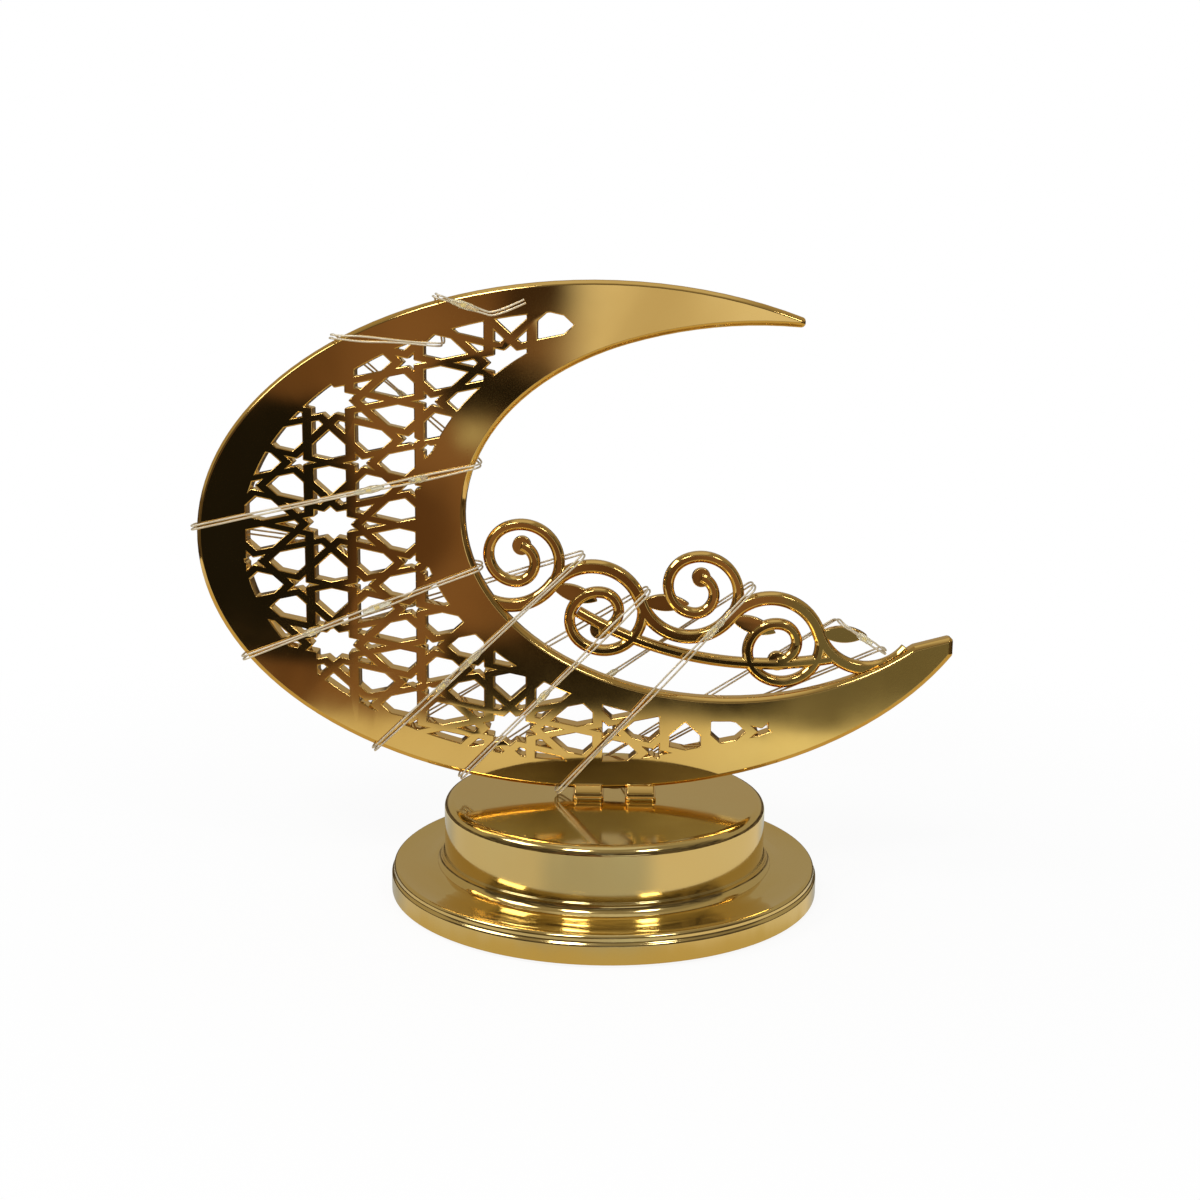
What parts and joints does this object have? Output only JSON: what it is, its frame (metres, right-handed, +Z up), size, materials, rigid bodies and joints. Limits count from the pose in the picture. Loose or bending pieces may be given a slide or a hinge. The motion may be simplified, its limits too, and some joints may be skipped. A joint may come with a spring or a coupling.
{
  "type": "crescent moon table ornament",
  "caption": "Pierced gold crescent moon standing on a stepped round base and wound with a battery light string; a table ornament for Eid.",
  "frame": {"origin": "centre of the round base on the surface that its rubber feet stand on", "axes": "+Z up; +X to the crescent's open side; the front with the free end of the string faces -Y"},
  "size_m": [0.2348, 0.134, 0.1892],
  "materials": {
    "gold_plated_plastic": "mirror gold plating over moulded plastic",
    "dark_plastic": "fine satin moulded plastic",
    "switch_plastic": "satin white plastic",
    "cell_jacket": "plain printed foil jacket",
    "contact_steel": "nickel-plated spring steel",
    "board_laminate": "green laminate",
    "resistor_coat": "tan lacquer",
    "screw_steel": "zinc-plated steel",
    "foot_rubber": "soft matt rubber",
    "grommet_rubber": "soft gold-brown rubber",
    "clear_resin": "clear hardened resin",
    "silver_wire": "lacquered silver-coloured wire"
  },
  "bodies": {
    "base": {"crescent": "gold_plated_plastic", "scroll_ornament": "gold_plated_plastic", "drum_cover": "gold_plated_plastic", "flange_base": "gold_plated_plastic", "bottom_plate": "dark_plastic", "battery_cells": "cell_jacket", "contact_springs": "contact_steel", "contact_plates": "contact_steel", "switch_housing": "dark_plastic", "circuit_board": "board_laminate", "resistor": "resistor_coat", "plate_screws": "screw_steel", "rubber_feet": "foot_rubber", "lug_washers": "screw_steel", "lug_screws": "screw_steel", "wire_grommet": "grommet_rubber", "led_drops": "clear_resin", "string_wire_first": "silver_wire", "string_wire_second": "silver_wire"},
    "door": {"battery_door": "dark_plastic"},
    "switch": {"switch_slider": "switch_plastic"}
  },
  "joints": [
    {"name": "battery_door_slide", "type": "slide", "parent": "base", "child": "door", "axis": [1, 0, 0], "range_m": [0, 0.02]},
    {"name": "switch_slide", "type": "slide", "parent": "base", "child": "switch", "axis": [1, 0, 0], "range_m": [0, 0.0025]}
  ]
}
